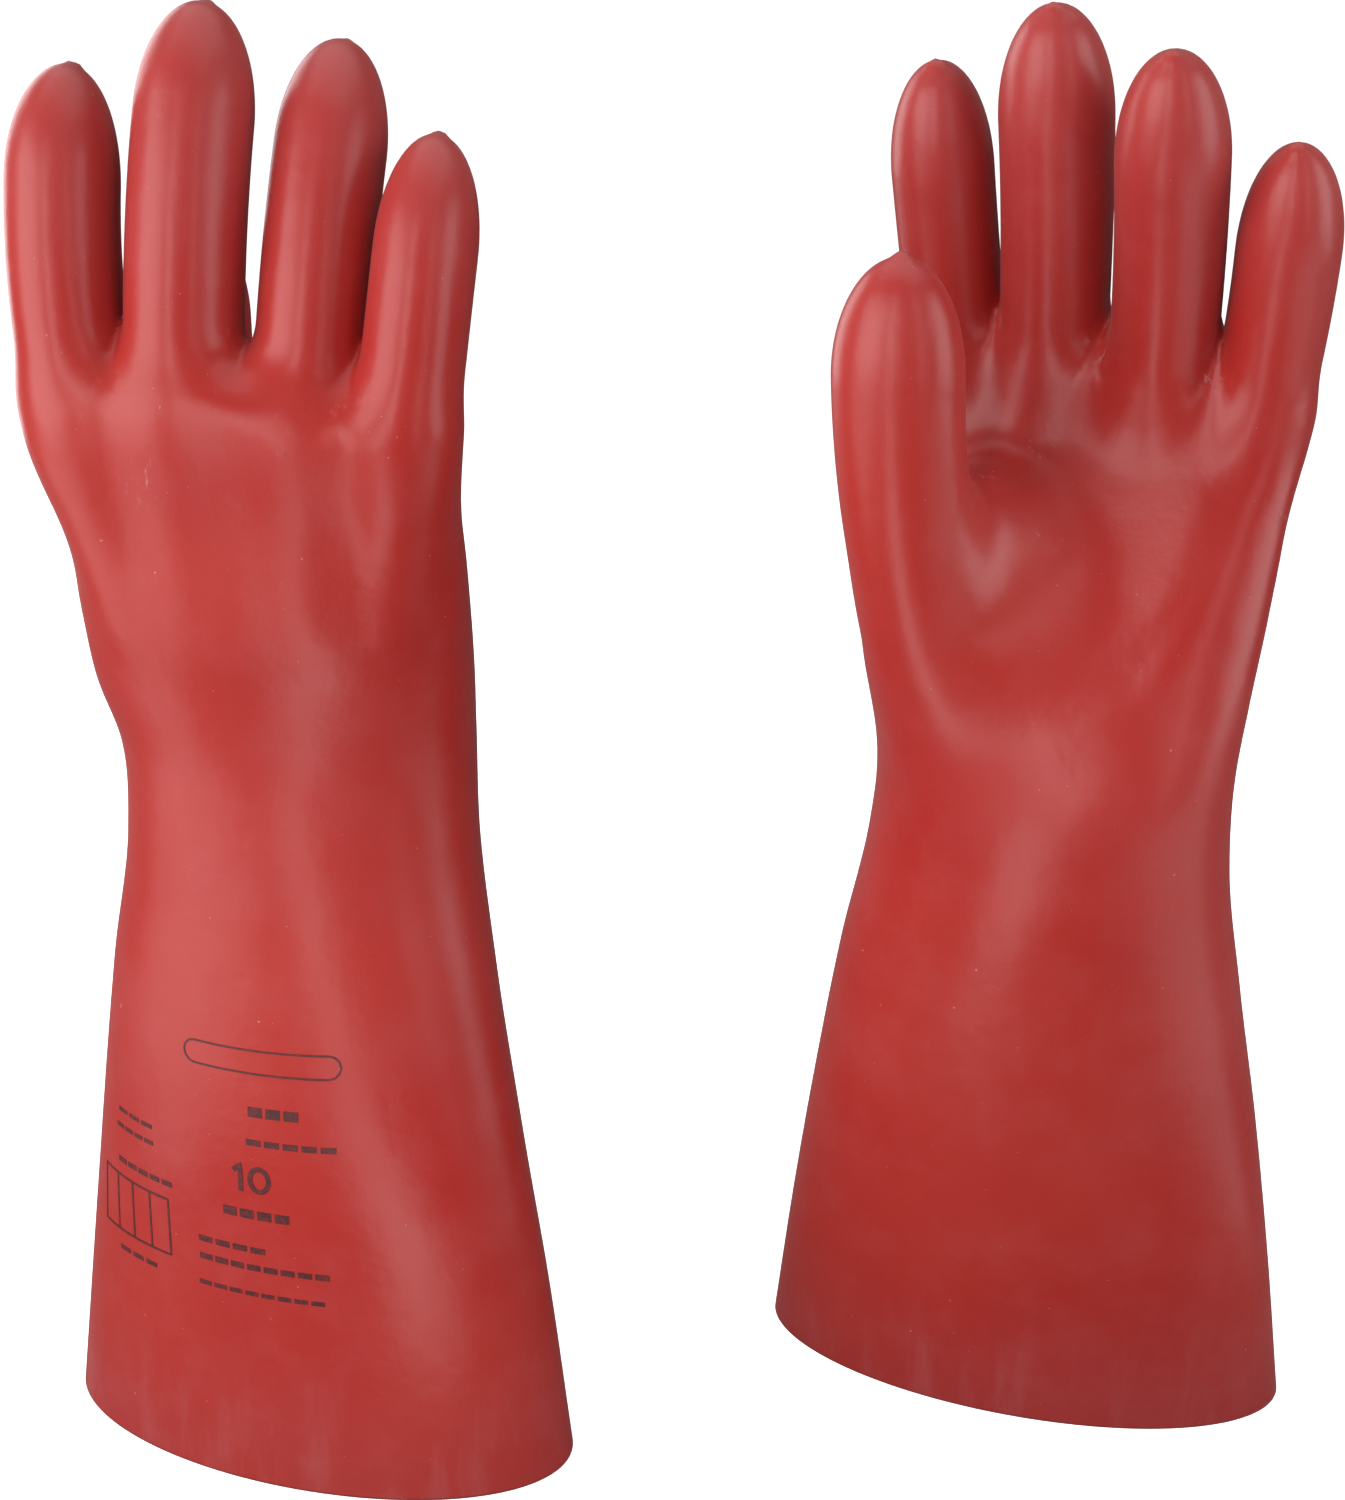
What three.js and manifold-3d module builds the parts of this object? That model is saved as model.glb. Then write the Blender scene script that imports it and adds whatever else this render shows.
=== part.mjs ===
// A pair of electrical insulating gloves: five-finger latex gloves with a long flared gauntlet,
// standing upright on the cut rims of their cuffs.
//
// Units are millimetres and +Z is up. The origin is on the surface the gloves stand on, midway between
// them. The glove for the left hand is at +X with its palm to -Y, and the glove for the right hand is
// its mirror image at -X with its palm to +Y.
//
// Each glove is one seamless moulding. It is divided where it flexes, at the wrist, the root of the
// thumb, and the root and middle joint of each finger, so that every stretch can turn on its own.
// All shapes below are in one glove's own frame: origin at the centre of the rim, +Z to the fingertips,
// palm to -Y, forefinger and thumb at -X.

import * as THREE from 'three';
import { mergeVertices } from 'three/addons/utils/BufferGeometryUtils.js';
import Module from 'manifold-3d';

const wasm = await Module();
wasm.setup();

// Driving dimensions
const WALL = 2.3; // thickness of the latex everywhere
const SPLIT = 0.3; // clear gap left where the moulding is divided
const WRIST = 150; // height of the wrist split above the rim
const GLOVE_X = 89.2; // from the middle of the pair to the centre of a rim, along X
const GLOVE_Y = 38.9; // the same along Y
const OPEN = 2; // how far a hollow is cut past the split it opens through

const BODY_SIDES = 28; // flats around the gauntlet and hand
const DIGIT_SIDES = 14; // flats around a finger or the thumb
const TIP_LENGTH = 27; // length of the rounded end of a finger
const TIP_STEPS = 4; // rings in that rounded end
const ROOT_SHARE = 0.7; // size of a digit where it starts, buried in the palm, against its full size
const GAUNTLET_STEPS = 5;
const PALM_STEPS = 10;
const HOLLOW_DROP = 2; // how far the hollow of the palm stays below its top

// Oval sections of the gauntlet and palm from the rim up: height, centre, half width along X,
// half depth along Y, and how far the oval is turned about Z, in degrees.
const SECTIONS = [
  { z: 0, x: 0.2, y: 0, width: 70.5, depth: 31.2, turn: 0 },
  { z: 45, x: -0.6, y: -5, width: 64.2, depth: 30.4, turn: 0 },
  { z: 90, x: -1.5, y: -9.2, width: 57.1, depth: 30.3, turn: 0 },
  { z: 130, x: -2.3, y: -14.5, width: 50.1, depth: 30.7, turn: -3 },
  { z: 165, x: -2.4, y: -20, width: 43.7, depth: 32, turn: -9 },
  { z: 190, x: -2.8, y: -23, width: 43, depth: 33.5, turn: -12 },
  { z: 225, x: -3.2, y: -15, width: 46.6, depth: 32.5, turn: -12 },
  { z: 255, x: 0.2, y: -3.3, width: 46.5, depth: 25.5, turn: -12 },
  { z: 272, x: 1.3, y: 1.8, width: 46.3, depth: 18.5, turn: -12 },
  { z: 281, x: 1.4, y: 4, width: 43.5, depth: 11, turn: -12 },
  { z: 283.5, x: 1.4, y: 4.5, width: 36, depth: 5, turn: -12 },
];

// Each digit runs along a curve from its root inside the palm to its tip. bow moves the middle of that
// curve off the straight line. knuckle and bend are the heights of its splits, and a digit with no bend
// is one piece above its knuckle.
const DIGITS = [
  {
    name: 'thumb', root: [-26.5, -32, 190], tip: [-37.5, -52, 309.5], bow: [-7, -9, 0],
    width: 28.6, depth: 27, knuckle: 267,
  },
  {
    name: 'index', root: [-30.5, 12.5, 255], tip: [-39.4, -11, 344.5], bow: [-1.5, 11, 0],
    width: 24.8, depth: 27, knuckle: 289, bend: 315,
  },
  {
    name: 'middle', root: [-10.8, 8, 255], tip: [-13.2, -25, 356.7], bow: [2, 12.5, 0],
    width: 25, depth: 28, knuckle: 290, bend: 321,
  },
  {
    name: 'ring', root: [15, 4.5, 255], tip: [12.4, -39.5, 348.3], bow: [2.4, 11.5, 0],
    width: 24, depth: 27, knuckle: 289, bend: 316,
  },
  {
    name: 'little', root: [37.2, 1.5, 250], tip: [38.5, -27.5, 330.4], bow: [4.2, 10, 0],
    width: 22.2, depth: 25, knuckle: 287, bend: 307,
  },
];

const LATEX_COLOUR = 0xb3332f;

function latex() {
  return new THREE.MeshStandardMaterial({ color: LATEX_COLOUR, roughness: 0.55, metalness: 0 });
}

// An oval of points about centre, counter-clockwise seen from the head of side x front.
function oval(centre, side, front, halfWidth, halfDepth, count) {
  return Array.from({ length: count }, (_, i) => {
    const angle = (2 * Math.PI * i) / count;
    return centre.clone()
      .addScaledVector(side, halfWidth * Math.cos(angle))
      .addScaledVector(front, halfDepth * Math.sin(angle));
  });
}

// A closed solid through a list of rings of points, with a fan over each end.
function loft(rings) {
  const count = rings[0].length;
  const middle = (ring) => ring.reduce((sum, p) => sum.add(p), new THREE.Vector3()).divideScalar(count);
  const points = [...rings.flat(), middle(rings[0]), middle(rings.at(-1))];
  const startCentre = points.length - 2;
  const endCentre = points.length - 1;
  const lastRing = (rings.length - 1) * count;
  const triangles = [];
  for (let j = 0; j < count; j += 1) {
    const k = (j + 1) % count;
    for (let row = 0; row < lastRing; row += count) {
      triangles.push(row + j, row + k, row + count + k);
      triangles.push(row + j, row + count + k, row + count + j);
    }
    triangles.push(startCentre, k, j);
    triangles.push(endCentre, lastRing + j, lastRing + k);
  }
  const geometry = new THREE.BufferGeometry();
  geometry.setAttribute('position', new THREE.Float32BufferAttribute(points.flatMap((p) => p.toArray()), 3));
  geometry.setIndex(triangles);
  return toSolid(geometry);
}

function toSolid(geometry) {
  const merged = mergeVertices(geometry);
  return new wasm.Manifold(new wasm.Mesh({
    numProp: 3,
    vertProperties: merged.attributes.position.array,
    triVerts: new Uint32Array(merged.index.array),
  }));
}

function toGeometry(solid) {
  const mesh = solid.getMesh();
  const geometry = new THREE.BufferGeometry();
  geometry.setAttribute('position', new THREE.Float32BufferAttribute(mesh.vertProperties, 3));
  geometry.setIndex(Array.from(mesh.triVerts));
  return geometry;
}

// Smooth curves through the sections: the middle of each oval, and its half sizes with its turn.
const smooth = (points) => new THREE.CatmullRomCurve3(points, false, 'catmullrom');
const middles = smooth(SECTIONS.map((s) => new THREE.Vector3(s.x, s.y, s.z)));
const halves = smooth(SECTIONS.map((s) => new THREE.Vector3(s.width, s.depth, s.turn)));

// The share of the way along a rising curve at which it reaches height z.
function placeAtHeight(pointAt, z) {
  let low = 0;
  let high = 1;
  for (let i = 0; i < 30; i += 1) {
    const half = (low + high) / 2;
    if (pointAt(half).z < z) low = half;
    else high = half;
  }
  return low;
}

function bodyRing(t, inset) {
  const half = halves.getPoint(t);
  const turn = THREE.MathUtils.degToRad(half.z);
  const side = new THREE.Vector3(Math.cos(turn), Math.sin(turn), 0);
  const front = new THREE.Vector3(-Math.sin(turn), Math.cos(turn), 0);
  return oval(middles.getPoint(t), side, front, half.x - inset, half.y - inset, BODY_SIDES);
}

// The rings of the gauntlet or palm between two heights, with their sides pulled in by inset.
function bodyRings(bottom, top, steps, inset) {
  const pointAt = (t) => middles.getPoint(t);
  const first = placeAtHeight(pointAt, bottom);
  const last = placeAtHeight(pointAt, top);
  const stops = Array.from({ length: steps + 1 }, (_, i) => THREE.MathUtils.lerp(first, last, i / steps));
  return stops.map((t) => bodyRing(t, inset));
}

// A copy of an end ring, moved along Z, to carry a hollow out through a flat opening.
const pastEnd = (ring, rise) => ring.map((p) => p.clone().setZ(p.z + rise));

function gauntlet() {
  const skin = bodyRings(0, WRIST - SPLIT / 2, GAUNTLET_STEPS, 0);
  const hollow = bodyRings(0, WRIST - SPLIT / 2, GAUNTLET_STEPS, WALL);
  const opened = [pastEnd(hollow[0], -OPEN), ...hollow, pastEnd(hollow.at(-1), OPEN)];
  return loft(skin).subtract(loft(opened));
}

function digitCurve({ root, tip, bow }) {
  const start = new THREE.Vector3(...root);
  const end = new THREE.Vector3(...tip);
  const bend = start.clone().lerp(end, 0.5).add(new THREE.Vector3(...bow));
  return new THREE.QuadraticBezierCurve3(start, bend, end);
}

// A ring across a digit, a share of the way along it, with its sides and its rounded end pulled in by inset.
function digitRing(digit, curve, share, inset) {
  const along = curve.getTangentAt(share);
  const side = new THREE.Vector3(1, 0, 0).addScaledVector(along, -along.x).normalize();
  const front = along.clone().cross(side);
  const toTip = curve.getLength() * (1 - share) - inset;
  const rounded = Math.max(0, 1 - toTip / (TIP_LENGTH - inset));
  const rooted = Math.min(1, ROOT_SHARE + share * 2);
  const scale = rooted * Math.sqrt(Math.max(1 - rounded * rounded, 0));
  const halfWidth = (digit.width / 2 - inset) * scale;
  const halfDepth = (digit.depth / 2 - inset) * scale;
  return oval(curve.getPointAt(share), side, front, halfWidth, halfDepth, DIGIT_SIDES);
}

// The shares along a digit at which its rings stand: even steps up to the rounded end, which has finer
// steps that close up towards the tip.
function digitShares(curve, from, to, inset) {
  const length = curve.getLength();
  const tipStart = 1 - TIP_LENGTH / length;
  const tipEnd = 1 - inset / length;
  if (to < 1) return [from, (from + to) / 2, to];
  const angles = Array.from({ length: TIP_STEPS }, (_, i) => (Math.PI / 2) * (i / TIP_STEPS));
  const round = angles.map((a) => THREE.MathUtils.lerp(tipStart, tipEnd, Math.sin(a)));
  const last = THREE.MathUtils.lerp(round.at(-1), tipEnd, 0.8);
  return [from, ...round.filter((share) => share > from + 0.02), last];
}

// One stretch of a digit, hollow, and open at each end that isn't the tip.
function digitStretch(digit, bottom, top) {
  const curve = digitCurve(digit);
  const length = curve.getLength();
  const share = (z) => placeAtHeight((u) => curve.getPointAt(u), z);
  const from = share(bottom) + SPLIT / 2 / length;
  const to = top ? share(top) - SPLIT / 2 / length : 1;
  const open = OPEN / length;
  const skin = digitShares(curve, from, to, 0).map((s) => digitRing(digit, curve, s, 0));
  const hollowEnd = top ? to + open : 1;
  const hollow = digitShares(curve, from - open, hollowEnd, WALL).map((s) => digitRing(digit, curve, s, WALL));
  return loft(skin).subtract(loft(hollow));
}

// The palm and back of the hand, with a stub of every digit up to its knuckle.
function hand() {
  const palmTop = SECTIONS.at(-1).z;
  const bottom = WRIST + SPLIT / 2;
  const skins = [loft(bodyRings(bottom, palmTop, PALM_STEPS, 0))];
  const palmHollow = bodyRings(bottom, palmTop - HOLLOW_DROP, PALM_STEPS, WALL);
  const hollows = [loft([pastEnd(palmHollow[0], -OPEN), ...palmHollow])];
  for (const digit of DIGITS) {
    const curve = digitCurve(digit);
    const length = curve.getLength();
    const end = placeAtHeight((u) => curve.getPointAt(u), digit.knuckle) - SPLIT / 2 / length;
    const stub = (inset, past) => {
      const shares = digitShares(curve, 0, end + past / length, inset);
      return loft(shares.map((s) => digitRing(digit, curve, s, inset)));
    };
    skins.push(stub(0, 0));
    hollows.push(stub(WALL, OPEN));
  }
  const join = (solids) => solids.reduce((whole, solid) => whole.add(solid));
  return join(skins).subtract(join(hollows));
}

// The pieces of one glove, by name.
function glovePieces() {
  const pieces = { gauntlet: gauntlet(), hand: hand() };
  for (const digit of DIGITS) {
    if (digit.bend) {
      pieces[`${digit.name}_lower`] = digitStretch(digit, digit.knuckle, digit.bend);
      pieces[`${digit.name}_upper`] = digitStretch(digit, digit.bend);
    } else {
      pieces[digit.name] = digitStretch(digit, digit.knuckle);
    }
  }
  return pieces;
}

// The mirror image of a geometry across its XZ plane, with its faces still turned outwards.
function mirrored(geometry) {
  const copy = geometry.clone().scale(1, -1, 1);
  const index = copy.index.array;
  for (let i = 0; i < index.length; i += 3) {
    [index[i], index[i + 1]] = [index[i + 1], index[i]];
  }
  return copy;
}

function glove(side, geometries) {
  const group = new THREE.Group();
  for (const [name, geometry] of Object.entries(geometries)) {
    const mesh = new THREE.Mesh(geometry, latex());
    mesh.name = `${side}_${name}`;
    group.add(mesh);
  }
  return group;
}

const leftShapes = {};
const rightShapes = {};
for (const [name, solid] of Object.entries(glovePieces())) {
  leftShapes[name] = toGeometry(solid);
  rightShapes[name] = mirrored(leftShapes[name]);
}

const leftGlove = glove('left', leftShapes);
leftGlove.position.set(GLOVE_X, GLOVE_Y, 0);
const rightGlove = glove('right', rightShapes);
rightGlove.position.set(-GLOVE_X, -GLOVE_Y, 0);

const gloves = new THREE.Group();
gloves.add(leftGlove, rightGlove);

export default gloves;
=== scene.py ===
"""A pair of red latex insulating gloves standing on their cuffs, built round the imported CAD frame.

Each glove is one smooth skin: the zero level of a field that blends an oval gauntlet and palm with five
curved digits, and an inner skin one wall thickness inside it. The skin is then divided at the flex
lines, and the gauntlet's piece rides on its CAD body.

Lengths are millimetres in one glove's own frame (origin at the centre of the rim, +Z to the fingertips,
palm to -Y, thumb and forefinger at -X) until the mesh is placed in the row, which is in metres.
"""

import math

import bmesh
import bpy
import numpy as np
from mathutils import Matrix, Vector


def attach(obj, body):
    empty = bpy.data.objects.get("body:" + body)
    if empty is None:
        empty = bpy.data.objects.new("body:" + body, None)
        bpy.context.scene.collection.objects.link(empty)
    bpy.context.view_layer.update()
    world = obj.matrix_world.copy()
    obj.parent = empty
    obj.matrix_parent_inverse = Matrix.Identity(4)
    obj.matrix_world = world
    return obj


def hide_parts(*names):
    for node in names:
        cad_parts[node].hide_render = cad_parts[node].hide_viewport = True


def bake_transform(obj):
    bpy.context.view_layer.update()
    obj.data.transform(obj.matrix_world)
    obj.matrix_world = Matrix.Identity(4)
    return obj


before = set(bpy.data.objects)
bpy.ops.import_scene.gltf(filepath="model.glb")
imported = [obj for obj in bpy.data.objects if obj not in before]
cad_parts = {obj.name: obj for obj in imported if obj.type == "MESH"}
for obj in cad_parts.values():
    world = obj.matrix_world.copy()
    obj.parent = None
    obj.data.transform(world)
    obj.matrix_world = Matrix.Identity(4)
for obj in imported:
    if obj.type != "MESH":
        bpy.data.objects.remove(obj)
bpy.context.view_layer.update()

MM = 0.001
WALL = 2.3  # thickness of the latex
GLOVE_X = 89.2  # from the middle of the pair to the centre of a rim, across and back
GLOVE_Y = 38.9
GAUNTLET_TOP = 122.0  # height of the cut between the gauntlet's skin and the hand's
WRIST_END = 180.0  # top of the stretch above the gauntlet that is worked out for the hand's piece

OUTER_STEP = 1.5  # spacing of the net that the outer skin is drawn on
INNER_STEP = 3.0

# Oval sections: height, centre x, centre y, half width, half depth, turn about Z in degrees
SECTIONS = np.array([
    (0, 0.2, 0, 70.5, 31.2, 0),
    (45, -0.6, -5, 64.2, 30.4, 0),
    (90, -1.5, -9.2, 57.1, 30.3, 0),
    (130, -2.3, -14, 50.1, 30.2, -3),
    (165, -1.9, -18.5, 44.1, 29.8, -9),
    (190, -1.6, -19.5, 43.2, 29, -15),
    (207, -1.7, -15.4, 44.9, 27.2, -16),
    (225, 0.2, -9.3, 45.0, 24.8, -16),
    (250, 2.3, -1.8, 44.6, 19, -14),
    (268, 1.6, 3.4, 45, 16, -12),
    (290, 1.4, 5.5, 44, 12, -12),
])
CAP_START = 274.5  # height at which the palm starts to close between the fingers
WEB_TOP = 284.0  # where it closes, either side of the middle finger
LITTLE_WEB_DROP = 6.0  # and how much lower it closes beside the little finger

# Digits: root inside the palm, tip, how far the curve's middle point is bowed, full width and depth,
# and the heights of the knuckle and bend flex lines
DIGITS = {
    "thumb": dict(root=(-19.5, -21, 182), tip=(-37.5, -52, 309.5), bow=(-12.5, -14, 0),
                  width=28.6, depth=27, knuckle=267),
    "index": dict(root=(-25.5, 9, 232), tip=(-39, -11, 344.5), bow=(-5.9, 17.5, 9),
                  width=23.2, depth=27, knuckle=289, bend=315),
    "middle": dict(root=(-10.8, 7, 236), tip=(-13.2, -25, 356.7), bow=(2.2, 18.3, 7),
                   width=25, depth=28, knuckle=290, bend=321),
    "ring": dict(root=(13.6, 2, 236), tip=(12.4, -39.5, 348.3), bow=(3.6, 18.2, 6),
                 width=24, depth=27, knuckle=289, bend=316),
    "little": dict(root=(31.5, -4.5, 233), tip=(38.5, -27.5, 330.4), bow=(6.8, 17.5, 6),
                   width=22.2, depth=25, knuckle=287, bend=307),
}
BALL_OF_THUMB = dict(root=(-8, -25, 182), tip=(-26, -21, 256), bow=(-3, -7, 0), width=36, depth=25)
FINGERS = ("index", "middle", "ring", "little")
ROOT_SHARE = 0.3  # share of its full girth that a digit starts with inside the palm
ROOT_LENGTH = 42.0  # length over which it widens to the whole of it
TIP_LENGTH = 25.5  # length of the rounded end of a digit
ROOT_ROUND = 8.0  # length of its rounded start
NUB_HEIGHT = 1.2  # how far the bead of latex at the tip stands out
NUB_RADIUS = 1.5
BEND_LENGTH = {"lower": 14.0, "upper": 8.0}  # length of a stretch, up from its flex line

# How far surfaces round into each other where they meet
WEB_BLEND = 6.0  # fingers, beside each other at their roots
FREE_BLEND = 0.8  # fingers, from the webs up
BODY_BLEND = 10.0  # fingers and palm
BALL_BLEND = 20.0  # thumb and the ball of the thumb
THUMB_BLEND = 22.0  # both of those and the palm
NUB_BLEND = 2.2  # bead and fingertip
FIELD_REACH = 40.0  # a digit is only worked out this near its centre line, past its widest blend

# Shape of the palm: depth (raised where negative), reach, and a line of (x, height) points
PALM_RELIEF = (
    (0.8, 15, ((-4, 258), (0, 244), (3, 230))),  # hollow of the palm
    (-0.8, 10, ((-28, 236), (-24, 224), (-12, 212), (0, 206))),  # ball of the thumb
    (-1.0, 10, ((37, 262), (32, 242), (24, 224), (12, 209))),  # edge of the hand
    (0.4, 4, ((34, 258), (30, 243), (24, 229), (16, 217))),  # crease inside that edge
)

# Latex colours
RED = (0.50, 0.026, 0.017, 1)
DEEP_RED = (0.46, 0.014, 0.009, 1)
# pale colour of the latex bloom, also used for the painted highlight on the fingertips
BLOOM_AND_TIP_HIGHLIGHT = (0.56, 0.13, 0.135, 1)
CHALK = (0.74, 0.45, 0.44, 1)

# Where dried latex and scuffs whiten the skin of each glove: a place and how far round it
SCUFFS = {
    "right": (((-13, 20, 262), 9), ((-1, 2, 290), 7), ((1, 14, 276), 7), ((16, 12, 271), 8),
              ((-25, 18, 281), 5), ((27, 6, 274), 6), ((-11, 6, 310), 5)),
    "left": (((-6, -30, 244), 5), ((-10, -16, 262), 6), ((1, -9, 284), 6), ((25, -14, 280), 7),
             ((-22, 0, 288), 6), ((45, -16, 249), 6), ((-20, -27, 258), 5)),
}

# Stamp on the right-hand cuff, as distances round from the middle of the back and up from the rim
INK_BLACK = (0.075, 0.018, 0.02, 1)
INK_FADED = (0.19, 0.02, 0.018, 1)
INK_PROUD = 0.12  # how far the ink stands out of the latex
INK_DEPTH = 0.5  # how deep its marks are rooted in it
INK_STEP = 1.5  # longest straight step along a mark
NAME_FRAME = (-20, 114.6, 21.5, 120.6)  # left, bottom, right, top
DATE_GRID = (-54, 58.5, -27.5, 74)
DATE_LINES = (-47.4, -40.8, -34.1)
DASH_PITCH = 4.5
DASHED_ROWS = (  # left, right, height, width of the line
    (-2, 12, 104.5, 2.6), (-2.7, 21.5, 96.3, 1.6), (-10, 9, 76.5, 2.4), (-18, 2, 66.5, 1.6),
    (-18, 18.6, 61.5, 1.6), (-18.7, 17, 54, 1.2), (-46, -31, 92.5, 1.1), (-47, -31, 88, 1.1),
    (-46.5, -25, 78.5, 1.4), (-47, -31.8, 53.6, 1.2),
)

# Stage, in metres and degrees
CAMERA_PLACE = (0.1208, -0.4327, 0.3716)
CAMERA_TURN = (67.66, 0, 15.8)
LENS = 48.12
FLOOR_SEEN = (0.94, 0.94, 0.94, 1)  # the floor's colour to the camera
FLOOR_BOUNCE = (0.15, 0.14, 0.14, 1)  # and to the light that it throws back onto the gloves
FLOOR_GLOW = 1.0
WORLD_LIGHT = 0.13
MIDDLE = (0, 0, 0.2)  # half way up the pair, which most of the lights face
SOFTBOXES = {  # place, what it faces, width and height, brightness
    "front_strip": ((0.0, -0.85, 0.45), MIDDLE, (0.07, 1.0), 9),
    "left_panel": ((-0.6, -0.68, 0.45), MIDDLE, (0.8, 0.9), 3.0),
    "right_strip": ((0.62, -0.5, 0.45), MIDDLE, (0.03, 0.9), 7),
    "right_panel": ((0.9, 0.05, 0.4), MIDDLE, (0.5, 0.8), 2.4),
    "left_rim": ((-0.8, 0.45, 0.4), MIDDLE, (0.5, 0.8), 2.5),
    "top_panel": ((0.0, 0.2, 1.2), MIDDLE, (1.4, 1.0), 1.0),
    "front_card": ((0.0, -0.5, 0.004), (0.0, -0.5, 1.0), (0.07, 0.7), 3.0),
    "left_card": ((-0.5, -0.45, 0.004), (-0.5, -0.45, 1.0), (0.5, 0.6), 1.2),
    "right_card": ((0.5, -0.1, 0.004), (0.5, -0.1, 1.0), (0.5, 0.3), 0.8),
}


# ---------------------------------------------------------------- shape of one glove

def column(z, index):
    """A column of SECTIONS as a smooth function of height, carried on straight below the rim."""
    heights, values = SECTIONS[:, 0], SECTIONS[:, index]
    slopes = np.gradient(values, heights)
    z = np.minimum(z, heights[-1])
    i = np.clip(np.searchsorted(heights, z) - 1, 0, len(heights) - 2)
    span = heights[i + 1] - heights[i]
    t = (z - heights[i]) / span
    below = t < 0
    t = np.maximum(t, 0)
    curve = (values[i] * (1 + 2 * t) * (1 - t) ** 2 + values[i + 1] * t * t * (3 - 2 * t)
             + span * (slopes[i] * t * (1 - t) ** 2 + slopes[i + 1] * t * t * (t - 1)))
    return np.where(below, values[0] + slopes[0] * z, curve)


def smooth_min(a, b, blend):
    """The lesser of two distances, rounded where they differ by less than the blend."""
    near = np.maximum(blend - np.abs(a - b), 0) / blend
    return np.minimum(a, b) - near * near * blend / 4


def ramp(x, start, end):
    """Eases from 0 at the start to 1 at the end."""
    t = np.clip((x - start) / (end - start), 0, 1)
    return t * t * (3 - 2 * t)


def oval_distance(parts, sizes):
    """Near-exact distance to an ellipsoid with the given half sizes."""
    level = np.sqrt(sum((p / s) ** 2 for p, s in zip(parts, sizes)))
    slope = np.sqrt(sum((p / (s * s)) ** 2 for p, s in zip(parts, sizes)))
    return level * (level - 1) / np.maximum(slope, 1e-9)


def body_field(p):
    """Distance to the gauntlet and palm, negative inside."""
    x, y, z = p.T
    cx, cy, half_width, half_depth = (column(z, i) for i in (1, 2, 3, 4))
    turn = np.radians(column(z, 5))
    dx, dy = x - cx, y - cy
    across = dx * np.cos(turn) + dy * np.sin(turn)
    front = -dx * np.sin(turn) + dy * np.cos(turn)
    across_share, front_share = across / half_width, front / half_depth
    cap = WEB_TOP - CAP_START
    above = np.maximum(z + LITTLE_WEB_DROP * ramp(x, 2, 26) - CAP_START, 0) / cap
    narrowing = np.sqrt(np.clip(1 - across_share ** 2, 0.3, 1))
    level = np.sqrt(across_share ** 2 + front_share ** 2 + (above * narrowing) ** 2)
    slope = np.sqrt((across_share / half_width) ** 2 + (front_share / half_depth) ** 2
                    + (above * narrowing ** 2 / cap) ** 2)
    side = level * (level - 1) / np.maximum(slope, 1e-9)
    return side + palm_relief(x, front, z)


def near_line(x, z, points, reach):
    """One on a line through (x, z) points, falling off over the given reach either side of it."""
    gap = np.full(len(x), 1e9)
    for (x0, z0), (x1, z1) in zip(points, points[1:]):
        dx, dz = x1 - x0, z1 - z0
        t = np.clip(((x - x0) * dx + (z - z0) * dz) / (dx * dx + dz * dz), 0, 1)
        gap = np.minimum(gap, np.hypot(x - x0 - t * dx, z - z0 - t * dz))
    return np.exp(-(gap / reach) ** 2)


def palm_relief(x, front, z):
    """How far the palm is sunk, fading out toward the back of the hand."""
    depth = sum(depth * near_line(x, z, line, reach) for depth, reach, line in PALM_RELIEF)
    return ramp(-front, 0, 14) * depth


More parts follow.
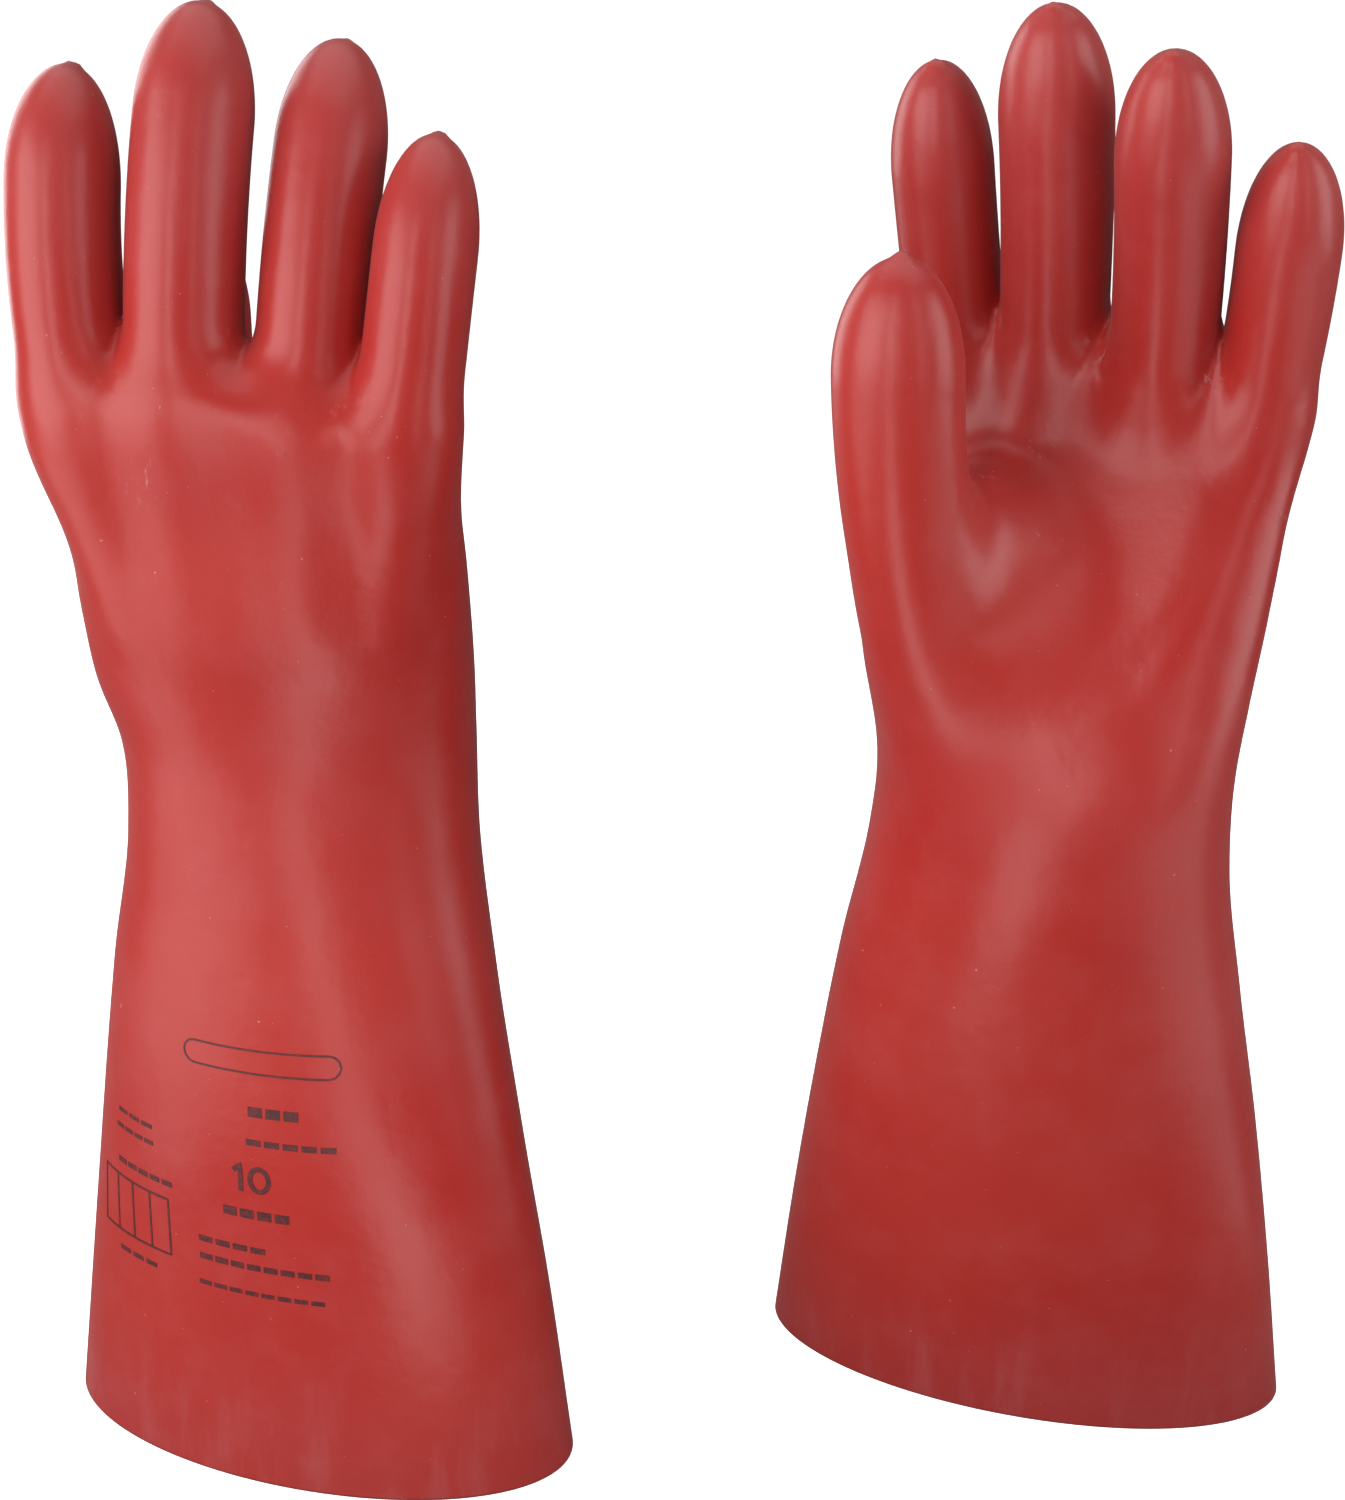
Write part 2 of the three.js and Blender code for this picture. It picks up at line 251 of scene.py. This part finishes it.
class Digit:
    """A curved digit as a field, with the planes that its flex lines lie in."""

    def __init__(self, root, tip, bow, width, depth, knuckle=None, bend=None):
        self.root = np.array(root, float)
        self.tip = np.array(tip, float)
        self.middle = (self.root + self.tip) / 2 + np.array(bow, float)
        self.half_width = width / 2
        self.half_depth = depth / 2
        self.shares = np.linspace(0, 1, 41)
        self.points = self.place(self.shares)
        steps = np.linalg.norm(np.diff(self.points, axis=0), axis=1)
        self.lengths = np.concatenate([[0], np.cumsum(steps)])
        self.length = self.lengths[-1]
        self.planes = [self.plane_at(z) for z in (knuckle, bend) if z]

    def place(self, t):
        """The point a share t of the way along the centre line."""
        t = np.asarray(t)[..., None]
        return (1 - t) ** 2 * self.root + 2 * t * (1 - t) * self.middle + t * t * self.tip

    def heading(self, t):
        """The unit vector along the centre line there."""
        t = np.asarray(t)[..., None]
        way = (1 - t) * (self.middle - self.root) + t * (self.tip - self.middle)
        return way / np.linalg.norm(way, axis=-1, keepdims=True)

    def plane_at(self, z):
        """A point and normal for the plane square to the digit at a height."""
        t = np.interp(z, self.points[:, 2], self.shares)
        return self.place(t), self.heading(t)

    def field(self, p):
        """Distance to the digit, or just a large number where it is too far off to matter."""
        low = self.points.min(axis=0) - FIELD_REACH
        high = self.points.max(axis=0) + FIELD_REACH
        near = ((p > low) & (p < high)).all(axis=1)
        distance = np.full(len(p), 60.0)
        distance[near] = self.near_field(p[near])
        return distance

    def near_field(self, p):
        """Distance to the digit's skin, found from the nearest place on its centre line."""
        gaps = ((p[:, None, :] - self.points[None, ::2, :]) ** 2).sum(axis=2)
        t = self.shares[::2][gaps.argmin(axis=1)]
        for _ in range(2):
            along = ((p - self.place(t)) * self.heading(t)).sum(axis=1)
            t = np.clip(t + along / self.length, 0, 1)
        way = self.heading(t)
        rest = p - self.place(t)
        along = (rest * way).sum(axis=1)
        run = np.interp(t, self.shares, self.lengths) + along
        side = np.array([1.0, 0, 0]) - way[:, :1] * way
        side /= np.linalg.norm(side, axis=1, keepdims=True)
        front = np.cross(way, side)
        rooted = ROOT_SHARE + (1 - ROOT_SHARE) * ramp(run, -6, ROOT_LENGTH)
        to_tip = np.maximum(run - (self.length - NUB_HEIGHT - TIP_LENGTH), 0)
        to_root = np.maximum(-run, 0)
        parts = ((rest * side).sum(axis=1), (rest * front).sum(axis=1), to_tip, to_root)
        sizes = (self.half_width * rooted, self.half_depth * rooted, TIP_LENGTH, ROOT_ROUND)
        return oval_distance(parts, sizes)

    def nub(self, p):
        """The small pointed bead of latex left at the tip."""
        way = self.heading(1.0)
        return np.linalg.norm(p - (self.tip - NUB_RADIUS * way), axis=1) - NUB_RADIUS


DIGIT = {name: Digit(**sizes) for name, sizes in DIGITS.items()}
THUMB_BALL = Digit(**BALL_OF_THUMB)


def glove_field(p):
    """Distance to the whole glove's outer skin, negative inside."""
    apart = ramp(p[:, 2], 274, 292)
    web_blend = WEB_BLEND - (WEB_BLEND - FREE_BLEND) * apart
    fingers = DIGIT["index"].field(p)
    for name in FINGERS[1:]:
        fingers = smooth_min(fingers, DIGIT[name].field(p), web_blend)
    whole = smooth_min(body_field(p), fingers, BODY_BLEND)
    thumb = smooth_min(DIGIT["thumb"].field(p), THUMB_BALL.field(p), BALL_BLEND)
    whole = smooth_min(whole, thumb, THUMB_BLEND)
    for digit in DIGIT.values():
        whole = smooth_min(whole, digit.nub(p), NUB_BLEND)
    return whole


def in_chunks(field, p, size=200000):
    """A field at many points, a part at a time to save memory."""
    return np.concatenate([field(p[i:i + size]) for i in range(0, len(p), size)])


# ---------------------------------------------------------------- skins

def level_net(field, level, step):
    """Vertices and quads of the surface where the field equals level, facing up the field.

    Each cell of a grid that the surface passes through holds one vertex, at the mean of the places
    where the surface crosses the cell's edges. Each crossed grid edge is ringed by one quad.
    """
    low, high = np.array([-76.0, -72, -6]), np.array([76.0, 40, 364])
    axes = [np.arange(low[i], high[i] + step, step) for i in range(3)]
    grid = np.stack(np.meshgrid(*axes, indexing="ij"), axis=-1)
    shape = grid.shape[:3]
    values = (in_chunks(field, grid.reshape(-1, 3)) - level).reshape(shape)
    inside = values < 0
    corners = [(i, j, k) for i in (0, 1) for j in (0, 1) for k in (0, 1)]

    def corner(array, offset):
        return array[tuple(slice(o, o + n - 1) for o, n in zip(offset, shape))]

    count = sum(corner(inside, c).astype(int) for c in corners)
    active = (count > 0) & (count < 8)
    ids = np.full(active.shape, -1)
    ids[active] = np.arange(active.sum())
    total = np.zeros((active.sum(), 3))
    hits = np.zeros(active.sum())
    for start in corners:
        for axis in range(3):
            if start[axis]:
                continue
            end = tuple(c + (i == axis) for i, c in enumerate(start))
            a, b = corner(values, start)[active], corner(values, end)[active]
            crossing = (a < 0) != (b < 0)
            share = np.where(crossing, a / np.where(crossing, a - b, 1), 0)[:, None]
            pa, pb = corner(grid, start)[active], corner(grid, end)[active]
            total += np.where(crossing[:, None], pa + share * (pb - pa), 0)
            hits += crossing
    vertices = total / hits[:, None]

    quads = []
    for axis in range(3):
        u, v = (axis + 1) % 3, (axis + 2) % 3
        first = [slice(None)] * 3
        second = [slice(None)] * 3
        first[axis], second[axis] = slice(None, -1), slice(1, None)
        for other in (u, v):
            first[other] = second[other] = slice(1, -1)
        a, b = inside[tuple(first)], inside[tuple(second)]
        index = np.argwhere(a != b)
        outward = a[tuple(index.T)]
        index[:, u] += 1
        index[:, v] += 1
        ring = []
        for du, dv in ((-1, -1), (0, -1), (0, 0), (-1, 0)):
            cell = index.copy()
            cell[:, u] += du
            cell[:, v] += dv
            ring.append(ids[tuple(cell.T)])
        ring = np.stack(ring, axis=1)
        quads.append(np.where(outward[:, None], ring, ring[:, ::-1]))
    return vertices, np.concatenate(quads)


def relax(vertices, quads, rounds):
    """Evens out a net by moving each vertex half way to the mean of its neighbours."""
    edges = np.concatenate([quads[:, [i, (i + 1) % 4]] for i in range(4)])
    for _ in range(rounds):
        total = np.zeros_like(vertices)
        hits = np.zeros(len(vertices))
        for a, b in ((0, 1), (1, 0)):
            np.add.at(total, edges[:, a], vertices[edges[:, b]])
            np.add.at(hits, edges[:, a], 1)
        vertices = (vertices + total / hits[:, None]) / 2
    return vertices


def slope_of(field, p, reach=0.15):
    """The field's gradient at each point."""
    steps = np.eye(3) * reach
    rises = [in_chunks(field, p + step) - in_chunks(field, p - step) for step in steps]
    return np.stack(rises, axis=1) / (2 * reach)


def settle(vertices, field, level, rounds=3):
    """Moves vertices straight to the surface where the field equals level."""
    for _ in range(rounds):
        slope = slope_of(field, vertices)
        error = in_chunks(field, vertices) - level
        step = error / np.maximum((slope ** 2).sum(axis=1), 0.25)
        vertices = vertices - np.clip(step, -1, 1)[:, None] * slope
    return vertices


def skin(level, step):
    """The whole glove's skin at one level of the field, as vertices and quads."""
    vertices, quads = level_net(glove_field, level, step)
    vertices = relax(vertices, quads, 3)
    return settle(vertices, glove_field, level), quads


def piece_of(centres):
    """The name of the piece that each point on the skin belongs to."""
    fields = np.stack([digit.field(centres) for digit in DIGIT.values()], axis=1)
    nearest = fields.argmin(axis=1)
    names = np.where(centres[:, 2] < GAUNTLET_TOP, "gauntlet", "hand").astype(object)
    for i, (name, digit) in enumerate(DIGIT.items()):
        own = (nearest == i) & (fields[:, i] < 3)
        stretches = [name] if len(digit.planes) == 1 else [f"{name}_lower", f"{name}_upper"]
        for (point, way), stretch in zip(digit.planes, stretches):
            names[own & ((centres - point) @ way > 0)] = stretch
    return names


def cut(net, point, way, reach=None):
    """Cuts faces of a bmesh along a plane, only those within reach of the point if that is given."""
    faces = [f for f in net.faces
             if reach is None or (f.calc_center_median() - Vector(point)).length < reach]
    parts = {e for f in faces for e in f.edges} | {v for f in faces for v in f.verts} | set(faces)
    bmesh.ops.bisect_plane(net, geom=list(parts), plane_co=point, plane_no=way, dist=1e-5)


def divided(vertices, quads):
    """A bmesh of the skin, cut along the rim and every flex line."""
    net = bmesh.new()
    made = [net.verts.new(v) for v in vertices]
    for quad in quads:
        net.faces.new([made[i] for i in quad])
    bmesh.ops.bisect_plane(net, geom=net.verts[:] + net.edges[:] + net.faces[:], dist=1e-5,
                           plane_co=(0, 0, 0), plane_no=(0, 0, 1), clear_inner=True)
    cut(net, (0, 0, GAUNTLET_TOP), (0, 0, 1), 90 + GAUNTLET_TOP)
    for digit in DIGIT.values():
        for point, way in digit.planes:
            cut(net, tuple(point), tuple(way), 1.25 * digit.half_depth + 3)
    return net


def glove_pieces():
    """Every piece of one glove, by name, as (vertices, faces) with the outer skin and the inner one."""
    pieces = {}
    for level, step, flip in ((0, OUTER_STEP, False), (-WALL, INNER_STEP, True)):
        net = divided(*skin(level, step))
        net.verts.index_update()
        points = np.array([v.co for v in net.verts])
        faces = [[v.index for v in f.verts] for f in net.faces]
        centres = np.array([f.calc_center_median() for f in net.faces])
        net.free()
        if flip:
            faces = [face[::-1] for face in faces]
        names = piece_of(centres)
        for name in np.unique(names):
            chosen = [faces[i] for i in np.flatnonzero(names == name)]
            pieces.setdefault(name, []).append((points, chosen))
    return pieces


def combined(layers):
    """One list of vertices and faces from several layers, with unused vertices dropped."""
    vertices, faces = [], []
    for points, own in layers:
        used = sorted({i for face in own for i in face})
        place = {old: new + len(vertices) for new, old in enumerate(used)}
        faces += [[place[i] for i in face] for face in own]
        vertices += [points[i] for i in used]
    return np.array(vertices), faces


# ---------------------------------------------------------------- material

class Shader:
    """Short names for making and linking shader nodes."""

    def __init__(self, name):
        self.material = bpy.data.materials.new(name)
        self.material.use_nodes = True
        self.tree = self.material.node_tree
        self.tree.nodes.clear()

    def node(self, kind, **settings):
        made = self.tree.nodes.new("ShaderNode" + kind)
        for key, value in settings.items():
            setattr(made, key, value)
        return made

    def fill(self, socket, value):
        if isinstance(value, bpy.types.NodeSocket):
            self.tree.links.new(value, socket)
        else:
            socket.default_value = value

    def math(self, operation, a, b=0.0, c=0.0):
        made = self.node("Math", operation=operation)
        for socket, value in zip(made.inputs, (a, b, c)):
            self.fill(socket, value)
        return made.outputs[0]

    def vector(self, operation, a, b=(0, 0, 0)):
        made = self.node("VectorMath", operation=operation)
        self.fill(made.inputs[0], a)
        self.fill(made.inputs[1], b)
        return made.outputs["Value" if operation == "LENGTH" else "Vector"]

    def noise(self, where, scale, detail=3.0, roughness=0.55):
        made = self.node("TexNoise")
        settings = {"Vector": where, "Scale": scale, "Detail": detail, "Roughness": roughness}
        for key, value in settings.items():
            self.fill(made.inputs[key], value)
        return made.outputs["Fac"]

    def steps(self, value, low, high, start=0.0, end=1.0):
        """Eases from start to end as the value goes from low to high."""
        made = self.node("MapRange", interpolation_type="SMOOTHSTEP")
        for socket, number in zip(made.inputs, (value, low, high, start, end)):
            self.fill(socket, number)
        return made.outputs[0]

    def mix(self, share, a, b):
        made = self.node("Mix", data_type="RGBA")
        self.fill(made.inputs["Factor"], share)
        self.fill(made.inputs["A"], a)
        self.fill(made.inputs["B"], b)
        return made.outputs["Result"]


def rest_place(shader):
    """Where a point of the skin is in its glove at rest, in millimetres."""
    return shader.node("Attribute", attribute_name="rest").outputs["Vector"]


def ball(shader, place, centre, reach):
    """One near a point, falling to nothing at the given reach."""
    offset = shader.vector("SUBTRACT", place, centre)
    gap = shader.vector("LENGTH", offset)
    return shader.steps(gap, 0.0, reach, 1.0, 0.0)


def latex(hand):
    """Red dipped latex with a pale bloom, drips drawn out near the rim, scuffs, a fine grain, and a
    painted highlight that pales the fingertips.
    """
    shader = Shader(f"latex_{hand}")
    place = rest_place(shader)
    split = shader.node("SeparateXYZ")
    shader.fill(split.inputs[0], place)
    height = split.outputs["Z"]

    cloud = shader.steps(shader.noise(place, 0.018, 4), 0.35, 0.7)
    patches = shader.steps(shader.noise(place, 0.07, 5, 0.6), 0.42, 0.72)
    drawn = shader.vector("MULTIPLY", place, (0.11, 0.11, 0.012))
    streaks = shader.steps(shader.noise(drawn, 1.0, 4, 0.6), 0.45, 0.75)
    powder = shader.noise(place, 1.6, 4, 0.7)

    cuff = shader.steps(height, 45, 0)
    # painted highlight: the fingertips are painted paler toward their tops, where the top light falls on
    # them
    painted_tip_highlight = shader.steps(height, 285, 350)
    # the pale share: real bloom, powder and drips near the rim, plus the painted fingertip highlight
    bloom_and_tip_highlight = shader.math("MULTIPLY_ADD", cloud, 0.09, 0.05)
    bloom_and_tip_highlight = shader.math("MULTIPLY_ADD", patches, 0.07, bloom_and_tip_highlight)
    bloom_and_tip_highlight = shader.math("MULTIPLY_ADD", shader.math("MULTIPLY", streaks, cuff), 0.3, bloom_and_tip_highlight)
    bloom_and_tip_highlight = shader.math("MULTIPLY_ADD", cuff, 0.12, bloom_and_tip_highlight)
    bloom_and_tip_highlight = shader.math("MULTIPLY_ADD", painted_tip_highlight, 0.16, bloom_and_tip_highlight)
    bloom_and_tip_highlight = shader.math("MULTIPLY_ADD", shader.steps(powder, 0.5, 0.85), 0.16, bloom_and_tip_highlight)
    colour = shader.mix(shader.steps(shader.noise(place, 0.011, 2), 0.35, 0.65), RED, DEEP_RED)
    colour = shader.mix(bloom_and_tip_highlight, colour, BLOOM_AND_TIP_HIGHLIGHT)

    worn = 0.0
    for centre, reach in SCUFFS[hand]:
        worn = shader.math("MAXIMUM", worn, ball(shader, place, centre, reach))
    upright = shader.vector("MULTIPLY", place, (1, 1, 0.45))
    crust = shader.steps(shader.noise(upright, 0.55, 5, 0.75), 0.54, 0.7)
    worn = shader.math("MULTIPLY", worn, crust)
    colour = shader.mix(shader.math("MULTIPLY", worn, 0.5), colour, CHALK)

    specks = shader.steps(shader.noise(place, 0.9, 1, 0.4), 0.80, 0.84)
    colour = shader.mix(shader.math("MULTIPLY", specks, 0.5), colour, CHALK)

    grain = shader.noise(place, 2.2, 5, 0.65)
    ripple = shader.noise(place, 0.12, 3)
    relief = shader.math("MULTIPLY_ADD", ripple, 0.5, shader.math("MULTIPLY", grain, 0.035))
    relief = shader.math("MULTIPLY_ADD", worn, 0.25, relief)
    bump = shader.node("Bump")
    bump.inputs["Strength"].default_value = 0.35
    bump.inputs["Distance"].default_value = 0.0012
    shader.fill(bump.inputs["Height"], relief)

    surface = shader.node("BsdfPrincipled")
    shader.fill(surface.inputs["Base Color"], colour)
    rough = shader.math("MULTIPLY_ADD", bloom_and_tip_highlight, 0.2, 0.26)
    rough = shader.math("MULTIPLY_ADD", powder, 0.08, rough)
    shader.fill(surface.inputs["Roughness"], rough)
    shader.fill(surface.inputs["Normal"], bump.outputs["Normal"])
    surface.inputs["Specular IOR Level"].default_value = 0.5
    surface.inputs["Sheen Weight"].default_value = 0.12
    surface.inputs["Sheen Roughness"].default_value = 0.45
    surface.inputs["Sheen Tint"].default_value = (1, 0.75, 0.76, 1)
    output = shader.node("OutputMaterial")
    shader.fill(output.inputs["Surface"], surface.outputs["BSDF"])
    return shader.material


def ink():
    """Grey-black stamping ink that has sunk unevenly into the latex."""
    shader = Shader("stamping_ink")
    place = rest_place(shader)
    wear = shader.steps(shader.noise(place, 0.9, 4, 0.7), 0.40, 0.68)
    colour = shader.mix(wear, INK_BLACK, INK_FADED)
    surface = shader.node("BsdfPrincipled")
    shader.fill(surface.inputs["Base Color"], colour)
    shader.fill(surface.inputs["Roughness"], shader.steps(wear, 0, 1, 0.42, 0.55))
    output = shader.node("OutputMaterial")
    shader.fill(output.inputs["Surface"], surface.outputs["BSDF"])
    return shader.material


def floor_white():
    """A white floor that throws less light back onto the gloves than it shows to the camera."""
    shader = Shader("studio_floor")
    seen = shader.node("LightPath").outputs["Is Camera Ray"]
    surface = shader.node("BsdfDiffuse")
    shader.fill(surface.inputs["Color"], shader.mix(seen, FLOOR_BOUNCE, FLOOR_SEEN))
    glow = shader.node("Emission")
    shader.fill(glow.inputs["Strength"], shader.math("MULTIPLY", seen, FLOOR_GLOW))
    both = shader.node("AddShader")
    shader.fill(both.inputs[0], surface.outputs[0])
    shader.fill(both.inputs[1], glow.outputs[0])
    output = shader.node("OutputMaterial")
    shader.fill(output.inputs["Surface"], both.outputs[0])
    return shader.material


# ---------------------------------------------------------------- placing in the row

HANDS = {"left": 1, "right": -1}


def in_row(points, hand):
    """Points of one glove's own frame, in metres in the row. The right hand's glove is a mirror image."""
    side = HANDS[hand]
    placed = np.array(points, float).reshape(-1, 3) * (1, side, 1)
    return (placed + (side * GLOVE_X, side * GLOVE_Y, 0)) * MM


def make_piece(name, hand, points, faces, material):
    """A smooth mesh piece from points in the glove's own frame."""
    if HANDS[hand] < 0:
        faces = [face[::-1] for face in faces]
    mesh = bpy.data.meshes.new(name)
    mesh.from_pydata(in_row(points, hand).tolist(), [], faces)
    mesh.validate()
    mesh.polygons.foreach_set("use_smooth", np.ones(len(mesh.polygons), bool))
    rest = mesh.attributes.new("rest", "FLOAT_VECTOR", "POINT")
    rest.data.foreach_set("vector", np.array(points, np.float32).ravel())
    mesh.materials.append(material)
    piece = bpy.data.objects.new(name, mesh)
    bpy.context.scene.collection.objects.link(piece)
    return piece


def close_rim(piece):
    """Joins the outer and inner skins across the cut edge that the glove stands on."""
    net = bmesh.new()
    net.from_mesh(piece.data)
    rim = [e for e in net.edges if e.is_boundary and all(abs(v.co.z) < 1e-5 for v in e.verts)]
    bmesh.ops.bridge_loops(net, edges=rim)
    net.to_mesh(piece.data)
    net.free()


def bend(piece, hand, lower, upper, point, way, length):
    """Works out, in the row, the ends of a length that starts at a piece's flex line, and bakes the
    piece's place into its mesh.
    """
    ends = in_row([point, point + length * way], hand)
    tuple(ends[0])
    tuple(ends[1])
    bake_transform(piece)


def add_glove(hand, pieces):
    """One glove's pieces, each standing for the CAD node of the same name."""
    material = latex(hand)
    wrist = np.array([0, 0, GAUNTLET_TOP])
    up = np.array([0.0, 0, 1])
    for part, layers in pieces.items():
        name = f"{hand}_{part}"
        piece = make_piece(f"{name}_skin", hand, *combined(layers), material)
        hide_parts(name)
        digit, _, stretch = part.partition("_")
        if part == "gauntlet":
            close_rim(piece)
            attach(piece, name)
        elif part == "hand":
            bend(piece, hand, "gauntlet", "hand", wrist, up, WRIST_END - GAUNTLET_TOP)
        elif stretch == "upper":
            point, way = DIGIT[digit].planes[1]
            bend(piece, hand, f"{digit}_lower", part, point, way, BEND_LENGTH["upper"])
        else:
            point, way = DIGIT[digit].planes[0]
            bend(piece, hand, "hand", part, point, way, BEND_LENGTH["lower"])


# ---------------------------------------------------------------- stamp on the right-hand cuff

def on_cuff(girth, height, lift):
    """A point on the back of the cuff, a distance round from its middle and up from the rim."""
    section = [float(column(np.array([height]), i)[0]) for i in range(1, 6)]
    centre_x, centre_y, half_width, half_depth = section[:4]
    turn = math.radians(section[4])
    angles = np.linspace(-1.4, 1.4, 281)
    spots = np.stack([half_width * np.sin(angles), half_depth * np.cos(angles)], axis=1)
    steps = np.linalg.norm(np.diff(spots, axis=0), axis=1)
    run = np.concatenate([[0], np.cumsum(steps)])
    angle = np.interp(girth + run[len(run) // 2], run, angles)
    out = np.array([math.sin(angle) / half_width, math.cos(angle) / half_depth])
    out *= lift / np.linalg.norm(out)
    across = half_width * math.sin(angle) + out[0]
    front = half_depth * math.cos(angle) + out[1]
    return (centre_x + across * math.cos(turn) - front * math.sin(turn),
            centre_y + across * math.sin(turn) + front * math.cos(turn), height)


def stroke(points, width):
    """A closed strip of ink along (girth, height) points, as vertices and faces."""
    path = [np.array(points[0], float)]
    for end in points[1:]:
        start = path[-1].copy()
        count = max(1, math.ceil(np.linalg.norm(np.array(end) - start) / INK_STEP))
        path += [start + (np.array(end) - start) * (i + 1) / count for i in range(count)]
    path = np.array(path)
    closed = np.allclose(path[0], path[-1])
    way = np.gradient(path, axis=0)
    if closed:
        way[0] = way[-1] = path[1] - path[-2]
    way /= np.linalg.norm(way, axis=1, keepdims=True)
    side = np.stack([-way[:, 1], way[:, 0]], axis=1) * width / 2
    vertices = []
    for spot, offset in zip(path, side):
        for edge, lift in ((1, INK_PROUD), (-1, INK_PROUD), (-1, -INK_DEPTH), (1, -INK_DEPTH)):
            vertices.append(on_cuff(*(spot + edge * offset), lift))
    faces = []
    for i in range(len(path) - 1):
        a, b = 4 * i, 4 * i + 4
        faces += [[a + j, b + j, b + (j + 1) % 4, a + (j + 1) % 4] for j in range(4)]
    last = 4 * len(path) - 4
    faces += [[0, 1, 2, 3], [last + 3, last + 2, last + 1, last]]
    return vertices, faces


def box_outline(left, bottom, right, top):
    """A square-cornered frame."""
    return [(left, bottom), (right, bottom), (right, top), (left, top), (left, bottom)]


def pill_outline(left, bottom, right, top):
    """A frame with half-round ends."""
    radius = (top - bottom) / 2
    middle = (top + bottom) / 2
    turns = np.linspace(-math.pi / 2, math.pi / 2, 7)
    ends = [(right - radius + radius * math.cos(a), middle + radius * math.sin(a)) for a in turns]
    ends += [(left + radius - radius * math.cos(a), middle - radius * math.sin(a)) for a in turns]
    return ends + ends[:1]


def stamp_marks():
    """The strokes of the stamp, each as points and a width: a blank name frame, ruled lines where a
    maker prints its details, an empty grid for test dates, and the size number, 10."""
    marks = [(pill_outline(*NAME_FRAME), 0.5)]
    for left, right, height, width in DASHED_ROWS:
        count = max(2, round((right - left) / DASH_PITCH))
        pitch = (right - left) / count
        marks += [([(left + i * pitch, height), (left + (i + 0.8) * pitch, height)], width)
                  for i in range(count)]
    marks.append((box_outline(*DATE_GRID), 0.6))
    marks += [([(x, DATE_GRID[1]), (x, DATE_GRID[3])], 0.6) for x in DATE_LINES]
    marks.append(([(-6.6, 88), (-4.6, 89.9), (-4.6, 82.6)], 1.3))
    turns = np.linspace(0, 2 * math.pi, 25)
    marks.append(([(0.5 + 2.5 * math.sin(a), 86.2 + 3.1 * math.cos(a)) for a in turns], 1.3))
    return marks


def add_stamp():
    """All the strokes as one piece, riding on the cuff they are printed on."""
    vertices, faces = [], []
    for points, width in stamp_marks():
        own, own_faces = stroke(points, width)
        faces += [[i + len(vertices) for i in face] for face in own_faces]
        vertices += own
    stamp = make_piece("right_cuff_stamp", "right", vertices, faces, ink())
    stamp.data.polygons.foreach_set("use_smooth", np.zeros(len(stamp.data.polygons), bool))
    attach(stamp, "right_gauntlet")


# ---------------------------------------------------------------- stage

def add_floor():
    """A pale floor that runs on to the horizon."""
    bpy.ops.mesh.primitive_plane_add(size=60)
    floor = bpy.context.object
    floor.name = "studio_floor"
    floor.data.materials.append(floor_white())


def add_softbox(name, place, aim, size, radiance):
    """A soft rectangular light, given by how bright its face is, that the camera doesn't see."""
    lamp = bpy.data.lights.new(name, "AREA")
    lamp.shape = "RECTANGLE"
    lamp.size, lamp.size_y = size
    lamp.energy = radiance * math.pi * size[0] * size[1]
    box = bpy.data.objects.new(name, lamp)
    box.location = place
    box.rotation_euler = (Vector(aim) - Vector(place)).to_track_quat("-Z", "Y").to_euler()
    box.visible_camera = False
    bpy.context.scene.collection.objects.link(box)


def add_camera():
    """The camera, a little above the gloves and looking down at them."""
    lens = bpy.data.cameras.new("camera")
    lens.lens = LENS
    camera = bpy.data.objects.new("camera", lens)
    camera.location = CAMERA_PLACE
    camera.rotation_euler = [math.radians(angle) for angle in CAMERA_TURN]
    bpy.context.scene.collection.objects.link(camera)
    bpy.context.scene.camera = camera


def add_world():
    """Even white all round, shown brighter to the camera than it lights the gloves."""
    world = bpy.data.worlds.new("studio")
    world.use_nodes = True
    tree = world.node_tree
    lit = tree.nodes["Background"]
    lit.inputs["Color"].default_value = (1, 1, 1, 1)
    lit.inputs["Strength"].default_value = WORLD_LIGHT
    shown = tree.nodes.new("ShaderNodeBackground")
    shown.inputs["Color"].default_value = (1, 1, 1, 1)
    seen = tree.nodes.new("ShaderNodeLightPath").outputs["Is Camera Ray"]
    both = tree.nodes.new("ShaderNodeMixShader")
    for socket, source in zip(both.inputs, (seen, lit.outputs[0], shown.outputs[0])):
        tree.links.new(source, socket)
    tree.links.new(both.outputs[0], tree.nodes["World Output"].inputs["Surface"])
    bpy.context.scene.world = world


# ---------------------------------------------------------------- everything together

shape = glove_pieces()
for hand in HANDS:
    add_glove(hand, shape)
add_stamp()

add_floor()
add_world()
add_camera()
for name, settings in SOFTBOXES.items():
    add_softbox(name, *settings)
bpy.context.scene.view_settings.view_transform = "Standard"
